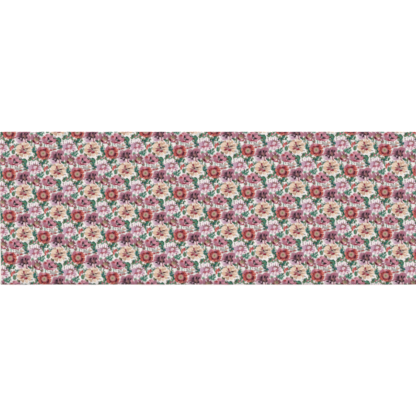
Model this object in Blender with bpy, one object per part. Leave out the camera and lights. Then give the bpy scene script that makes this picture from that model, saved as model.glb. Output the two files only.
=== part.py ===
"""A bolt of printed cotton: full-width cloth lapped round a flat folding board.

Axes: X runs across the cloth from selvedge to selvedge, Y runs from the front edge
of the bolt to the back edge, +Z is up. The origin is the middle of the underside.
The free end of the cloth lies on top, with its cut edge at the front. Its top lap and
the narrow strip that covers the back edge turn back together, which unrolls half a turn.
"""

import math

import bpy

# ---- Cloth, in metres ----
CLOTH_WIDTH = 1.384         # selvedge to selvedge
CLOTH_THICKNESS = 0.0004
BOLT_DEPTH = 0.500          # front edge to back edge, so a turn is about a metre
TURNS = 25
TURN_PITCH = 0.0004         # what one turn adds to the pile

# ---- Folding board ----
BOARD_OVERHANG = 0.018      # the board stands out past both selvedges
BOARD_THICKNESS = 0.021
WALL = 0.003                # corrugated sheet
STIFFENER_WIDTH = 0.040
STIFFENER_SETBACK = 0.006   # from the board's ends
FLAP_WIDTH = 0.180
CREASE_RADIUS = 0.0025      # outside of a folded crease
CREASE_STEPS = 4

# ---- Paper ----
TAPE_THICKNESS = 0.0003
SEAM_TAPE_WIDTH = 0.050
SEAM_TAPE_SETBACK = 0.010
START_TAPE_WIDTH = 0.025
START_TAPE_LENGTH = 0.090
START_TAPE_SPACING = 0.450
START_TAPE_Y = -0.120       # where the first end of the cloth is taped down
LABEL_WIDTH = 0.150
TALLY_WIDTH = 0.070
LABEL_THICKNESS = 0.0003
LABEL_MARGIN = 0.0025       # above and below a label on its flap

# ---- Fits ----
GAP = 0.0003                # between pieces that touch
BEND_STEPS = 6              # flats in a quarter turn of the pile
CORE_BEND_RADIUS = 0.0015   # the innermost turn round the board's edge

# ---- Worked out ----
BOARD_LENGTH = CLOTH_WIDTH + 2 * BOARD_OVERHANG
PILE = TURNS * TURN_PITCH
PAPER_CLEARANCE = 2 * GAP + TAPE_THICKNESS
BOARD_DEPTH = BOLT_DEPTH - 2 * (PILE + GAP)
BOARD_BOTTOM = PILE + PAPER_CLEARANCE
BOARD_TOP = BOARD_BOTTOM + BOARD_THICKNESS
BOLT_HEIGHT = BOARD_TOP + PAPER_CLEARANCE + PILE
BEND_RADIUS = PILE          # of the outermost turn at each long edge
OUTER_TURN = CLOTH_THICKNESS + GAP
FLAP_FACE = BOARD_LENGTH / 2 + GAP


def material(name, colour, roughness):
    """A plain surface of one colour."""
    made = bpy.data.materials.new(name)
    made.use_nodes = True
    shader = made.node_tree.nodes["Principled BSDF"]
    shader.inputs["Base Color"].default_value = (*colour, 1.0)
    shader.inputs["Roughness"].default_value = roughness
    shader.inputs["Metallic"].default_value = 0.0
    return made


def clear_scene():
    for obj in list(bpy.data.objects):
        bpy.data.objects.remove(obj)


def finish(obj, name, surface, collection):
    """Names a piece, gives it its material and puts it in the bolt's collection."""
    obj.name = name
    obj.data.materials.clear()
    obj.data.materials.append(surface)
    for holder in list(obj.users_collection):
        holder.objects.unlink(obj)
    collection.objects.link(obj)
    return obj


def arc(centre, radius, start, steps):
    """Points of a quarter circle about centre, counter-clockwise from start degrees."""
    turns = [math.radians(start + 90 * step / steps) for step in range(steps + 1)]
    return [(centre[0] + radius * math.cos(a), centre[1] + radius * math.sin(a)) for a in turns]


def rounded_rectangle(low, high, radius, steps):
    """The outline of a rectangle in the YZ plane with round corners."""
    (y0, z0), (y1, z1) = low, high
    return (
        arc((y1 - radius, z0 + radius), radius, 270, steps)
        + arc((y1 - radius, z1 - radius), radius, 0, steps)
        + arc((y0 + radius, z1 - radius), radius, 90, steps)
        + arc((y0 + radius, z0 + radius), radius, 180, steps)
    )


def extrusion(outlines, length):
    """Closed outlines in the YZ plane drawn out along X. An outline inside another is a hole."""
    curve = bpy.data.curves.new("outline", "CURVE")
    curve.dimensions = "2D"
    curve.fill_mode = "BOTH"
    curve.extrude = length / 2
    for outline in outlines:
        spline = curve.splines.new("POLY")
        spline.points.add(len(outline) - 1)
        for point, (y, z) in zip(spline.points, outline):
            point.co = (y, z, 0, 1)
        spline.use_cyclic_u = True
    obj = bpy.data.objects.new("extrusion", curve)
    bpy.context.scene.collection.objects.link(obj)
    obj.rotation_euler = (math.pi / 2, 0, math.pi / 2)
    return obj


def slab(low, high):
    """A box between two corners, with its scale applied."""
    size = [b - a for a, b in zip(low, high)]
    bpy.ops.mesh.primitive_cube_add(size=1, location=[(a + b) / 2 for a, b in zip(low, high)])
    obj = bpy.context.object
    obj.scale = size
    bpy.ops.object.transform_apply(location=False, rotation=False, scale=True)
    return obj


def pivot(name, place, collection):
    """An empty on a joint's axis, for the pieces that turn about it."""
    made = bpy.data.objects.new(name, None)
    made.location = place
    collection.objects.link(made)
    return made


def hang(child, axis):
    """Parents a piece, or another pivot, to a pivot and leaves it where it is."""
    bpy.context.view_layer.update()
    child.location = child.matrix_world.translation - axis.matrix_world.translation
    child.parent = axis


def wound_cloth():
    """Every turn that stays on the board, as one pile with the board's room through it.

    The turn that covers the top and the back edge is left out, for the two moving laps.
    """
    outside = rounded_rectangle(
        (-BOLT_DEPTH / 2, 0),
        (BOLT_DEPTH / 2 - OUTER_TURN, BOLT_HEIGHT - OUTER_TURN),
        BEND_RADIUS,
        BEND_STEPS,
    )
    half_room = BOARD_DEPTH / 2 + GAP
    inside = rounded_rectangle(
        (-half_room, PILE), (half_room, BOLT_HEIGHT - PILE), CORE_BEND_RADIUS, CREASE_STEPS
    )
    return extrusion([outside, inside], CLOTH_WIDTH)


def free_lap():
    """The cloth's last lap, from its cut edge at the front to the bend at the back."""
    return slab(
        (-CLOTH_WIDTH / 2, -BOLT_DEPTH / 2, BOLT_HEIGHT - CLOTH_THICKNESS),
        (CLOTH_WIDTH / 2, BOLT_DEPTH / 2 - BEND_RADIUS, BOLT_HEIGHT),
    )


def back_strip():
    """The part of the same turn that covers the back edge, between its two bends."""
    return slab(
        (-CLOTH_WIDTH / 2, BOLT_DEPTH / 2 - CLOTH_THICKNESS, BEND_RADIUS),
        (CLOTH_WIDTH / 2, BOLT_DEPTH / 2, BOLT_HEIGHT - BEND_RADIUS),
    )


def board_wrap():
    """The folded blank: a top panel, two edge walls and two bottom leaves.

    The leaves meet in the middle, and each turns up there as a rib that holds the top panel.
    """
    half, seam = BOARD_DEPTH / 2, GAP / 2
    rib_top = BOARD_TOP - WALL - GAP
    floor, ceiling = BOARD_BOTTOM + WALL, BOARD_TOP - WALL
    turn = CREASE_RADIUS
    outside = (
        arc((half - turn, BOARD_BOTTOM + turn), turn, 270, CREASE_STEPS)
        + arc((half - turn, BOARD_TOP - turn), turn, 0, CREASE_STEPS)
        + arc((turn - half, BOARD_TOP - turn), turn, 90, CREASE_STEPS)
        + arc((turn - half, BOARD_BOTTOM + turn), turn, 180, CREASE_STEPS)
    )
    inside = [
        (-seam, BOARD_BOTTOM),
        (-seam, rib_top),
        (-seam - WALL, rib_top),
        (-seam - WALL, floor),
        (WALL - half, floor),
        (WALL - half, ceiling),
        (half - WALL, ceiling),
        (half - WALL, floor),
        (seam + WALL, floor),
        (seam + WALL, rib_top),
        (seam, rib_top),
        (seam, BOARD_BOTTOM),
    ]
    return extrusion([outside + inside], BOARD_LENGTH)


def stiffener(side):
    """A channel of folded board that holds the panels apart halfway across one chamber."""
    middle = side * BOARD_DEPTH / 4
    left, right = middle - STIFFENER_WIDTH / 2, middle + STIFFENER_WIDTH / 2
    foot = BOARD_BOTTOM + WALL + GAP
    crown = BOARD_TOP - WALL - GAP
    outline = [
        (left, foot),
        (left + WALL, foot),
        (left + WALL, crown - WALL),
        (right - WALL, crown - WALL),
        (right - WALL, foot),
        (right, foot),
        (right, crown),
        (left, crown),
    ]
    return extrusion([outline], BOARD_LENGTH - 2 * STIFFENER_SETBACK)


def end_flap(side):
    """A flap that hangs from the top panel's end and covers the middle of the opening."""
    faces = sorted((side * FLAP_FACE, side * (FLAP_FACE + WALL)))
    return slab(
        (faces[0], -FLAP_WIDTH / 2, BOARD_BOTTOM),
        (faces[1], FLAP_WIDTH / 2, BOARD_TOP),
    )


def flap_label(side, width):
    """A paper label on the outside of an end flap."""
    inner = FLAP_FACE + WALL + GAP
    faces = sorted((side * inner, side * (inner + LABEL_THICKNESS)))
    return slab(
        (faces[0], -width / 2, BOARD_BOTTOM + LABEL_MARGIN),
        (faces[1], width / 2, BOARD_TOP - LABEL_MARGIN),
    )


def seam_tape():
    """Gummed tape along the joint between the two bottom leaves."""
    half_length = BOARD_LENGTH / 2 - SEAM_TAPE_SETBACK
    top = BOARD_BOTTOM - GAP
    return slab(
        (-half_length, -SEAM_TAPE_WIDTH / 2, top - TAPE_THICKNESS),
        (half_length, SEAM_TAPE_WIDTH / 2, top),
    )


def start_tape(x):
    """One of the tapes that hold the first end of the cloth on the board."""
    bottom = BOARD_TOP + GAP
    return slab(
        (x - START_TAPE_WIDTH / 2, START_TAPE_Y - START_TAPE_LENGTH / 2, bottom),
        (x + START_TAPE_WIDTH / 2, START_TAPE_Y + START_TAPE_LENGTH / 2, bottom + TAPE_THICKNESS),
    )


def bend_pivot(z, upwards):
    """A point on the axis that cloth unrolling off one of the back edge's bends turns about.

    Unrolling lays the bend's quarter arc out straight. The one point that a quarter turn
    about it does the same to the cloth past the bend lies on the bend's diagonal, a quarter
    of pi radii out from the arc's centre along Y and along Z.
    """
    out = BEND_RADIUS * math.pi / 4
    return (0, BOLT_DEPTH / 2 - BEND_RADIUS + out, z + upwards * out)


def add_cloth(bolt):
    surface = material("printed_cotton", (0.46, 0.30, 0.28), 0.9)
    finish(wound_cloth(), "wound_cloth", surface, bolt)
    strip = finish(back_strip(), "back_strip", surface, bolt)
    lap = finish(free_lap(), "free_lap", surface, bolt)

    low = pivot("strip_pivot", bend_pivot(BEND_RADIUS, -1), bolt)
    high = pivot("lap_pivot", bend_pivot(BOLT_HEIGHT - BEND_RADIUS, 1), bolt)
    hang(strip, low)
    hang(lap, high)
    hang(high, low)


def add_board(bolt):
    kraft = material("kraft_board", (0.50, 0.35, 0.20), 0.85)
    label_paper = material("label_paper", (0.85, 0.84, 0.80), 0.5)
    finish(board_wrap(), "board_wrap", kraft, bolt)
    finish(stiffener(-1), "stiffener_front", kraft, bolt)
    finish(stiffener(1), "stiffener_back", kraft, bolt)

    for side, end, label, width in (
        (-1, "left", "tally_label", TALLY_WIDTH),
        (1, "right", "end_label", LABEL_WIDTH),
    ):
        flap = finish(end_flap(side), "end_flap_" + end, kraft, bolt)
        sticker = finish(flap_label(side, width), label, label_paper, bolt)
        crease = pivot(f"flap_{end}_pivot", (side * FLAP_FACE, 0, BOARD_TOP), bolt)
        hang(flap, crease)
        hang(sticker, crease)


def add_tapes(bolt):
    gummed = material("paper_tape", (0.55, 0.36, 0.17), 0.6)
    masking = material("masking_tape", (0.72, 0.60, 0.36), 0.7)
    finish(seam_tape(), "seam_tape", gummed, bolt)
    for place, name in ((-1, "left"), (0, "middle"), (1, "right")):
        finish(start_tape(place * START_TAPE_SPACING), "start_tape_" + name, masking, bolt)


def main():
    clear_scene()
    bolt = bpy.data.collections.new("fabric_bolt")
    bpy.context.scene.collection.children.link(bolt)
    add_board(bolt)
    add_tapes(bolt)
    add_cloth(bolt)


main()
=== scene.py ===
# %% [markdown]
# # A bolt of printed cotton
# Dress cotton reaches a shop as a bolt: about 25 m of cloth, selvedge to selvedge, lapped round a
# flat folding board of corrugated fibreboard. This one lies on its face with the free end of the
# cloth on top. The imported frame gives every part's true place, and this lesson builds what is seen:
# the laps of cloth, the flower print, the fluted board with its end flaps, the paper and the tapes.

# %% The frame
import math
import random

import bpy
import numpy as np
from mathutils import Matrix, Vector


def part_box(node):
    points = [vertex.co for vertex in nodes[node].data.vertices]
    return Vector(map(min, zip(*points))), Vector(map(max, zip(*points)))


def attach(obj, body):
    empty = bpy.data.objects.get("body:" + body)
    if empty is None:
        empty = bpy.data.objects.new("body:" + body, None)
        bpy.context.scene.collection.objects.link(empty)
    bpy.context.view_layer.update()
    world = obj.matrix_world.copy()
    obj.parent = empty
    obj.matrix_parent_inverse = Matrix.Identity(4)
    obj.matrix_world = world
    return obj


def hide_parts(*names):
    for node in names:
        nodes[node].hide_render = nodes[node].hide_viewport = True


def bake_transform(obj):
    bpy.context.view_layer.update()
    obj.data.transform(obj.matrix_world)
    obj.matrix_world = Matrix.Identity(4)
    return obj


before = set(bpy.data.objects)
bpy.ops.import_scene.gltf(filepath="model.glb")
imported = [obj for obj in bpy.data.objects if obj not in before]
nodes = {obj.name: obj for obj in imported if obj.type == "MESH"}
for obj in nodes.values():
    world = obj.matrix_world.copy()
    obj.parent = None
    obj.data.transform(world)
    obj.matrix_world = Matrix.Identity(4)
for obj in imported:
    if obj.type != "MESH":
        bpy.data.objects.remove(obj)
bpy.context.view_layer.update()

# %% [markdown]
# ## Wiring nodes
# A print drawn with nodes needs a thousand of them, so placing each by hand in the editor is out of
# the question. A few small helpers keep the wiring short: they add a node with its inputs filled or
# linked, do a sum, open or place a group, carry a value to another range, and mix two colours.


# %% Node helpers
def feed(tree, socket, value):
    """Fill an input with a number, or link another socket to it."""
    if isinstance(value, bpy.types.NodeSocket):
        tree.links.new(value, socket)
    else:
        socket.default_value = value


def node(tree, kind, values=(), **settings):
    """A shader node with its settings. Each of its values is a number, or a socket to link."""
    made = tree.nodes.new("ShaderNode" + kind)
    for name, value in settings.items():
        setattr(made, name, value)
    for place, value in dict(values).items():
        feed(tree, made.inputs[place], value)
    return made


def maths(tree, operation, *values):
    """The result of one sum on numbers or sockets."""
    return node(tree, "Math", enumerate(values), operation=operation).outputs[0]


def group(name, inputs, outputs):
    """A node group with its named sockets, its input node and its output node."""
    tree = bpy.data.node_groups.new(name, "ShaderNodeTree")
    for title, kind, value in inputs:
        socket = tree.interface.new_socket(title, in_out="INPUT", socket_type="NodeSocket" + kind)
        if value is not None:
            socket.default_value = value
    for title, kind in outputs:
        tree.interface.new_socket(title, in_out="OUTPUT", socket_type="NodeSocket" + kind)
    return tree, tree.nodes.new("NodeGroupInput"), tree.nodes.new("NodeGroupOutput")


def place_group(tree, made, values=()):
    """A built group put in another tree."""
    holder = tree.nodes.new("ShaderNodeGroup")
    holder.node_tree = made
    for name, value in dict(values).items():
        feed(tree, holder.inputs[name], value)
    return holder


def spread(tree, value, low, high, to_low=0.0, to_high=1.0, curve="SMOOTHSTEP"):
    """A value carried from one range to another, and held at its ends."""
    numbers = {"Value": value, "From Min": low, "From Max": high, "To Min": to_low, "To Max": to_high}
    made = node(tree, "MapRange", numbers, interpolation_type=curve, clamp=curve == "LINEAR")
    return made.outputs["Result"]


def mix(tree, share, first, second, how="MIX"):
    """Two colours mixed by a share from 0 to 1."""
    made = node(tree, "Mix", data_type="RGBA", blend_type=how, clamp_factor=True)
    for place, value in ((0, share), (6, first), (7, second)):
        feed(tree, made.inputs[place], value)
    return made.outputs[2]


# %% [markdown]
# ## The dyes
# A printed cotton gets its picture from rotary screens, one for each dye, and a busy flower print
# uses about twenty. The picture could be painted as an image, but an image goes soft when a camera
# comes close. Here it is drawn with shader nodes instead, so it stays sharp at any distance, and the
# same few dyes colour every flower, as they do in a print works.


# %% The dyes
def dye(code):
    """The linear colour, as shaders take it, of a six-digit screen colour."""
    shares = [int(code[place : place + 2], 16) / 255 for place in (0, 2, 4)]
    return [s / 12.92 if s <= 0.04045 else ((s + 0.055) / 1.055) ** 2.4 for s in shares] + [1.0]


GROUND = dye("f2edea")
MIST = dye("cfd2cc")
STONE = dye("a69e9b")
BLUSH = dye("f3d6da")
PINK = dye("d392a0")
ROSE = dye("b2667a")
SALMON = dye("d37a6c")
CORAL = dye("c45d55")
BRICK = dye("a43a3c")
CRIMSON = dye("8e1c34")
MAROON = dye("521626")
INK = dye("1e1418")
PLUM = dye("482a3a")
MAUVE = dye("aa7286")
LILAC = dye("c69eb4")
PALE_LILAC = dye("d8bfcb")
PURPLE = dye("96688c")
PEACH = dye("dcb89c")
CREAM = dye("e9d0bb")
SAND = dye("c6a088")
CLAY = dye("94685f")
OLIVE = dye("48462e")
MOSS = dye("767c5c")
FOREST = dye("284c3c")
LEAF = dye("3a7c60")
TEAL = dye("2a6264")
SAGE = dye("7ea393")

# %% [markdown]
# ## The flowers
# Each flower is a small drawing in millimetres round its own centre, with x to the right and y
# towards the cut end of the cloth. A drawing calls brush() for every dab of dye, and later dabs cover
# earlier ones. Petals that go round a centre come from a loop, and the dabs that make each flower
# look hand-drawn, such as its dark stamens, follow one by one.


# %% A ring of petals
def petals(brush, count, reach, size, colours, start=0, flat=1.0, soft=0.25):
    """Petals round the centre, their colours taken in turn. flat squeezes the ring's height."""
    for number in range(count):
        angle = start + 360 * number / count
        x = reach * math.cos(math.radians(angle))
        y = reach * math.sin(math.radians(angle)) * flat
        brush((x, y), size, angle, colours[number % len(colours)], soft)


# %% Coral gerbera
def coral_gerbera(brush):
    brush((0.5, 0.5), (20.5, 18.5), 0, CORAL, 0.2)
    petals(brush, 13, 17, (6.5, 4.5), [SALMON, CORAL, ROSE, SALMON], start=0, flat=0.88, soft=0.2)
    petals(brush, 13, 18, (5, 0.9), [BRICK], start=13, flat=0.9, soft=0.8)
    petals(brush, 6, 23, (3, 1), [GROUND], start=-64, flat=0.92, soft=0.8)
    brush((-14, -14), (7, 4.4), -50, ROSE, 0.6)
    brush((-12.5, -4), (4, 3), 60, MAROON, 0.6)
    brush((9, -14), (5, 3), -55, BRICK, 0.8)
    brush((12, 16), (5, 3), 50, BRICK, 0.7)
    brush((-17, 7), (3, 4), -10, BRICK, 0.9)
    petals(brush, 5, 12, (4.4, 3.2), [MAROON], start=15, flat=0.9, soft=0.4)
    petals(brush, 6, 12.5, (4.4, 3), [BRICK, MAROON], start=95, flat=0.9, soft=0.5)
    petals(brush, 5, 11, (3.8, 2.8), [BRICK], start=252, flat=0.95, soft=0.5)
    brush((10.5, 8.5), (5, 3), -45, MAROON, 0.5)
    brush((-7, 10), (4, 3), 50, MAROON, 0.5)
    brush((-15.5, 7), (3, 3.4), 0, CORAL, 0.6)
    brush((-2, -17), (4, 2.4), 0, PINK, 0.7)
    brush((-0.5, 1), (10.2, 9.8), 0, BRICK, 0.2)
    brush((0, 0.4), (8.6, 8.4), 0, MAUVE, 0.25)
    brush((-0.4, 0.2), (6.6, 6.4), 0, SAND, 0.5)
    brush((-0.6, 0.3), (2.6, 2.6), 0, MOSS, 0.9)


# %% Mauve poppy
def mauve_poppy(brush):
    brush((-1, 1), (20, 17.5), -20, MAUVE, 0.25)
    brush((8, -16), (9.5, 6.5), -15, ROSE, 0.35)
    brush((17, -12), (6, 9), 15, MAUVE, 0.3)
    brush((-9.5, -13), (8, 5.5), 15, MAUVE, 0.5)
    brush((-12, -8), (7, 6), 0, MAUVE, 0.5)
    brush((-15, 1), (7, 5), 0, ROSE, 0.5)
    brush((-16, 10), (7, 6), -30, PALE_LILAC, 0.4)
    brush((-9, 17), (9, 4.5), -10, LILAC, 0.4)
    brush((20, 5), (5, 8), -8, ROSE, 0.4)
    brush((17, 9), (4.5, 7), 10, MAUVE, 0.5)
    brush((11, 15), (8, 3.4), 80, BLUSH, 0.4)
    brush((8, 16), (5, 1.6), 90, ROSE, 0.5)
    petals(brush, 8, 15, (5, 0.8), [PINK], start=-75, flat=0.9, soft=0.8)
    brush((0.5, 0), (10.5, 9.5), -30, PLUM, 0.95)
    brush((3, 1.5), (4, 5), 0, CLAY, 0.8)
    brush((-6.5, 7.5), (2.2, 1.8), 0, LILAC, 0.6)
    for x, y, turn in ((-5.5, -7.5, -60), (5.4, -9.4, 95), (14, -8, -60)):
        brush((x, y), (3.5, 2), turn, INK, 0.45)
    for x, y, turn in ((-12.8, 7.4, 5), (-3.5, 12, -55), (1.5, 5, 60), (12, 4.6, -50)):
        brush((x, y), (4.2, 2), turn, INK, 0.5)
    brush((1, -3), (1.2, 4.6), -10, MAUVE, 0.6)
    brush((1, -10), (1.4, 3), -10, MAUVE, 0.6)
    brush((3, 13), (4, 2.2), 80, BLUSH, 0.6)
    brush((16.5, -1.5), (2.6, 3), 0, PINK, 0.8)


# %% Peach peony
def peach_peony(brush):
    brush((0, 1), (23, 18.5), 10, PEACH, 0.15)
    petals(brush, 11, 19, (7.5, 6), [CREAM, PEACH, CREAM, SAND], start=10, flat=0.9, soft=0.2)
    petals(brush, 11, 20, (5, 0.9), [GROUND], start=26, flat=0.9, soft=0.8)
    petals(brush, 11, 16.5, (5, 0.9), [SAND], start=20, flat=0.88, soft=0.9)
    petals(brush, 9, 11.5, (6.4, 4), [CREAM, PEACH, CREAM], start=0, flat=0.9, soft=0.3)
    petals(brush, 9, 12, (4.4, 0.9), [CLAY, SAND], start=19, flat=0.9, soft=0.9)
    brush((-16, -11), (6, 4), -30, CREAM, 0.4)
    brush((-19, 2), (3, 6), 10, PEACH, 0.6)
    brush((18, -5), (4, 3), 20, SAND, 0.9)
    brush((4.5, -14), (5, 2.2), 0, SAND, 0.8)
    brush((-11, 16), (4, 2.4), 0, SAND, 0.8)
    brush((-3.5, -11), (2.8, 4.2), -10, CRIMSON, 0.5)
    brush((-1, -6), (2.6, 3), 0, ROSE, 0.5)
    brush((9.5, -3.2), (4.4, 2.1), 8, MAROON, 0.7)
    brush((-9, 1.8), (4.6, 2.8), 25, ROSE, 0.5)
    brush((-8.5, 7.8), (6, 3), -18, CRIMSON, 0.5)
    brush((-5, 2.5), (3, 3), -18, CLAY, 0.8)
    brush((-5.5, -5), (3, 1.8), -30, CLAY, 0.6)
    brush((4.5, 9.8), (5.4, 3.6), -22, CRIMSON, 0.4)
    brush((-1, 5.5), (2.6, 3), -20, ROSE, 0.7)
    brush((5.5, 3), (3.6, 2.4), 40, STONE, 0.6)
    brush((0.6, -1.2), (3.4, 2.6), 20, PLUM, 0.5)


# %% Lilac daisy
def lilac_daisy(brush):
    petals(brush, 9, 19, (6, 2.4), [GROUND, BLUSH], start=190, flat=0.9)
    brush((0, 1.5), (20, 14.5), 0, PALE_LILAC, 0.3)
    petals(brush, 13, 15.5, (8.5, 4), [LILAC, PALE_LILAC, LILAC, BLUSH], start=-30, flat=0.88, soft=0.25)
    petals(brush, 6, 15, (7, 3), [LILAC, MAUVE], start=32, flat=0.85, soft=0.6)
    petals(brush, 13, 18.5, (6, 0.9), [GROUND], start=-16, flat=0.88, soft=0.8)
    petals(brush, 13, 11.5, (5, 0.9), [PURPLE, MAUVE], start=-22, flat=0.8, soft=0.9)
    brush((-14, 2), (4, 7), 15, LILAC, 0.9)
    for x in (-14, -7, 0, 7, 14):
        brush((x, abs(x) * 0.3 - 17), (1.8, 4.4), x, GROUND, 0.6)
    brush((-5.5, -2.5), (2.6, 4.4), 10, MAUVE, 0.7)
    brush((4.5, -6.5), (6.4, 2.4), 20, CLAY, 0.8)
    brush((8.8, -1), (2, 6), 0, CLAY, 0.7)
    brush((2, 0.5), (5.6, 5), 0, BLUSH, 0.3)
    brush((0.8, 0), (3, 3), 0, PALE_LILAC, 0.7)
    brush((-4, 7.2), (7, 2.7), -3, BRICK, 0.6)
    brush((-3, 6.6), (5, 1.2), -3, ROSE, 0.6)
    brush((7.5, 6.4), (4, 2.8), -40, ROSE, 0.6)
    brush((1, 12.5), (2, 4), 0, BLUSH, 0.7)


# %% Rose anemone
def rose_anemone(brush):
    brush((-1, 1), (21, 12.5), 15, ROSE, 0.3)
    brush((-6, -12), (6, 6), -20, ROSE, 0.35)
    brush((-1, -11), (4, 6), 20, PINK, 0.7)
    brush((7, -8), (8, 4), -30, MAUVE, 0.4)
    brush((-16, -4), (6, 6), -30, ROSE, 0.3)
    brush((-14, 4), (7, 5), 20, MAUVE, 0.5)
    brush((-9, 11), (9, 5), 15, ROSE, 0.3)
    brush((3, 13), (8, 4), 8, ROSE, 0.3)
    brush((9, 12.5), (7, 2.4), 5, PINK, 0.5)
    brush((16.5, 3.5), (8, 7.4), 0, ROSE, 0.2)
    for x, y, turn in ((-11, -10, 30), (-3, 12, 70), (12, 10, 40), (13, -3, -30)):
        brush((x, y), (4.4, 0.8), turn, BLUSH, 0.8)
    brush((-18, 10), (3, 2), 30, CLAY, 0.6)
    brush((-8, -3), (3.4, 4.4), 0, PINK, 0.8)
    brush((-14, -7), (3.6, 3), 0, BRICK, 0.8)
    brush((-4, 13), (5.5, 2), 8, CRIMSON, 0.6)
    brush((15, 3), (4, 3.4), 0, PINK, 0.8)
    brush((15, 2.5), (3, 1), 0, ROSE, 0.8)
    brush((8, -1.5), (4.4, 2.4), -20, PINK, 0.6)
    brush((0, 4.5), (5.5, 3.4), 40, PLUM, 0.8)
    brush((-0.5, 4), (3, 2.4), 30, STONE, 0.6)
    brush((-2.4, -3), (2.8, 4.6), 0, PLUM, 0.4)
    brush((-2.4, -3), (2, 3.6), 0, INK, 0.5)
    brush((6, 6.6), (5.4, 2.4), 8, INK, 0.5)


# %% Rust cup flower
def rust_cup(brush):
    brush((-12, -10), (8, 5), 40, MAUVE, 0.4)
    brush((-15, -6), (5, 6), 10, MAUVE, 0.5)
    brush((-1, -13), (9, 4), 20, MAUVE, 0.5)
    brush((14, -1), (5, 6), 0, BLUSH, 0.5)
    brush((13, 7), (5, 6), 0, MAUVE, 0.6)
    brush((0, 1), (14.5, 13.5), 0, MAUVE, 0.25)
    brush((1.5, 11), (8, 4), 10, ROSE, 0.5)
    brush((1, -1), (10.6, 9), 35, MAROON, 0.5)
    brush((-1, 0.6), (9.4, 7.8), 30, CLAY, 0.4)
    brush((-3, 5), (6, 2.2), 25, PINK, 0.7)
    brush((-2, 0.6), (4, 3.6), 20, SAND, 0.8)
    brush((0, -1.6), (2.8, 2.6), 0, MOSS, 0.9)
    brush((4.5, 8.4), (4.4, 2.2), -20, BLUSH, 0.6)
    brush((5.5, 12.5), (4, 2), 0, BRICK, 0.7)
    brush((-9.5, 5.6), (5.6, 3.6), 42, CRIMSON, 0.4)
    brush((-9, 6.2), (4.4, 2.4), 42, MAROON, 0.5)
    for x, y, turn in ((-7, -11, 60), (5, -12, -60), (13.5, 2, 10), (9.5, 11.5, 50)):
        brush((x, y), (3, 0.8), turn, GROUND, 0.8)


# %% White violet
def white_violet(brush):
    brush((0, 1), (15, 8), 0, STONE, 0.6)
    petals(brush, 8, 11, (6, 3.4), [GROUND, MIST, GROUND, BLUSH], start=10, flat=0.65)
    petals(brush, 8, 9, (5, 1.4), [STONE, CLAY], start=32, flat=0.65, soft=0.8)
    brush((0, 0), (5, 3.6), 0, MIST, 0.8)
    brush((-8.5, -0.5), (5, 2.2), 48, STONE, 0.6)
    brush((-3, 1), (3, 2), 0, STONE, 0.9)
    brush((5, 1), (4.4, 2), -30, STONE, 0.8)
    brush((-1, 6), (4, 1.6), 10, STONE, 0.8)
    brush((9, -3), (4, 2), 0, SAND, 0.9)
    brush((-4.5, 8), (3.2, 2), 0, PINK, 0.6)
    brush((-4, 10.3), (4, 2.1), 0, BRICK, 0.6)
    brush((7, 7.4), (4.2, 2.2), 0, BRICK, 0.7)


# %% Coral buds
def coral_buds(brush):
    brush((-10, 0), (1.8, 6), -8, LEAF, 0.5)
    brush((-6, -5), (2.4, 3.5), 0, STONE, 0.6)
    brush((3, -3), (3.8, 4.8), 10, BRICK, 0.4)
    brush((-2, -0.5), (4, 3.4), 0, CORAL, 0.6)
    brush((-5, 6), (3.2, 6), -8, CORAL, 0.35)
    brush((1.5, 3), (2.4, 2.6), 0, ROSE, 0.5)


# %% [markdown]
# ## The leaves
# Between the flowers lie leaves in two greens each: a dark body and a lighter half along the rib. One
# function draws a leaf from its middle, length, width, lean and two dyes, and the foliage is a list
# of leaves, each where a bare patch needs one.


# %% A leaf
def leaf(brush, at, size, turn, body, light=None):
    """A leaf, with its lighter half a little to one side of its rib."""
    brush(at, size, turn, body, 0.3)
    if light is not None:
        lean = math.radians(turn)
        off = (at[0] - math.sin(lean) * size[1] * 0.45, at[1] + math.cos(lean) * size[1] * 0.45)
        brush(off, (size[0] * 0.8, size[1] * 0.45), turn, light, 0.6)


# %% Teal sprig
def teal_sprig(brush):
    brush((-2, 2), (13, 1.2), 25, TEAL, 0.6)
    leaf(brush, (-9, 0.5), (4.8, 4), 20, TEAL, LEAF)
    leaf(brush, (-2, -4), (6.5, 2.8), 80, FOREST, LEAF)
    leaf(brush, (-6, 5), (5, 2.6), 30, LEAF)
    leaf(brush, (1, 7), (6.5, 3), 20, LEAF, SAGE)
    leaf(brush, (4, -5), (6, 2.6), 105, TEAL, SAGE)
    leaf(brush, (7, 2), (4.5, 2.6), -50, LEAF)
    leaf(brush, (9, -8), (4.6, 2.4), -60, OLIVE, MOSS)
    leaf(brush, (11, -2), (4.4, 2.2), 60, SAGE)
    leaf(brush, (-13, 2), (2.4, 3.4), 0, CLAY)


# %% Dark spray
def dark_spray(brush):
    leaf(brush, (-9, -14), (4.6, 2.6), 20, TEAL)
    leaf(brush, (-3, -11), (6, 3.2), -20, LEAF, SAGE)
    leaf(brush, (2.5, -13), (5.4, 3.2), 20, FOREST, LEAF)
    leaf(brush, (8, -7.5), (3.6, 2.4), 75, FOREST)
    leaf(brush, (2, -6.5), (6, 3.4), 10, LEAF, MOSS)
    leaf(brush, (5.5, -1), (5.6, 3.2), -40, LEAF)
    leaf(brush, (0, -1), (4, 2.4), 60, TEAL)
    leaf(brush, (4, 5), (6.4, 3), 75, LEAF, TEAL)
    leaf(brush, (0, 9), (6, 3), 70, TEAL)
    leaf(brush, (5, 12), (4.4, 2.6), 30, FOREST)
    leaf(brush, (8, 17.5), (9, 3.6), -30, FOREST, LEAF)
    leaf(brush, (-1, 19), (4.6, 2.4), -20, TEAL)
    leaf(brush, (-6, 2), (2.4, 4.4), 0, SAGE)


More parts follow.
